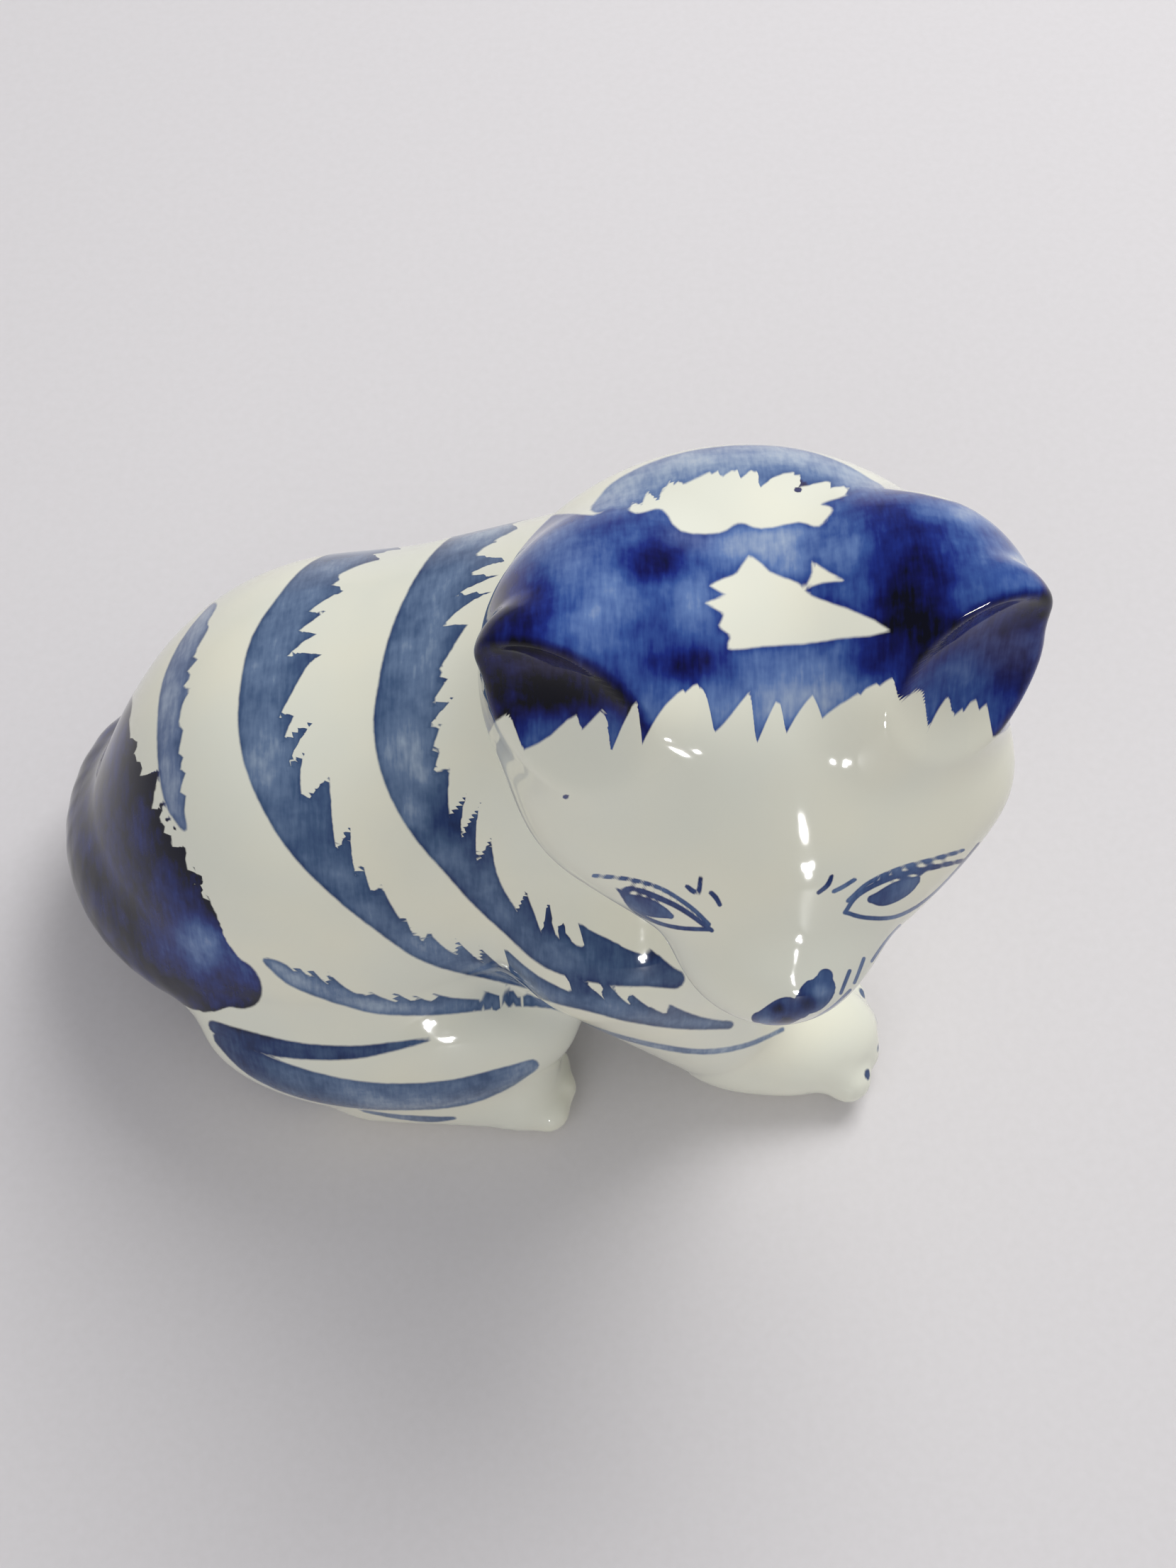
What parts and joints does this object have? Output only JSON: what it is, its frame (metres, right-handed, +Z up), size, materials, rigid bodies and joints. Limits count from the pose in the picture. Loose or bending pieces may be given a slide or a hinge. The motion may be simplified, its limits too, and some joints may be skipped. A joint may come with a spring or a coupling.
{
  "type": "cat figurine",
  "caption": "Seated ceramic kitten that looks over its right side, hollow cast in white porcelain, glazed and painted with cobalt stripes.",
  "frame": {"origin": "on the flat underside that the figurine rests on, 14 mm ahead of the drain hole's middle", "axes": "+Z up from the resting face, +X the way the body faces, +Y to the cat's left, so the face looks along -Y"},
  "size_m": [0.1073, 0.0775, 0.11],
  "materials": {
    "white_glaze": "white porcelain under a clear gloss glaze, with brushed cobalt stripes",
    "cobalt_glaze": "white porcelain washed nearly all over with cobalt under a clear gloss glaze"
  },
  "bodies": {
    "root": {"body_shell": "white_glaze", "head_shell": "white_glaze", "left_ear": "cobalt_glaze", "right_ear": "cobalt_glaze", "left_front_leg": "white_glaze", "right_front_leg": "white_glaze", "left_hind_foot": "white_glaze", "right_hind_foot": "white_glaze", "tail": "cobalt_glaze"}
  },
  "joints": []
}
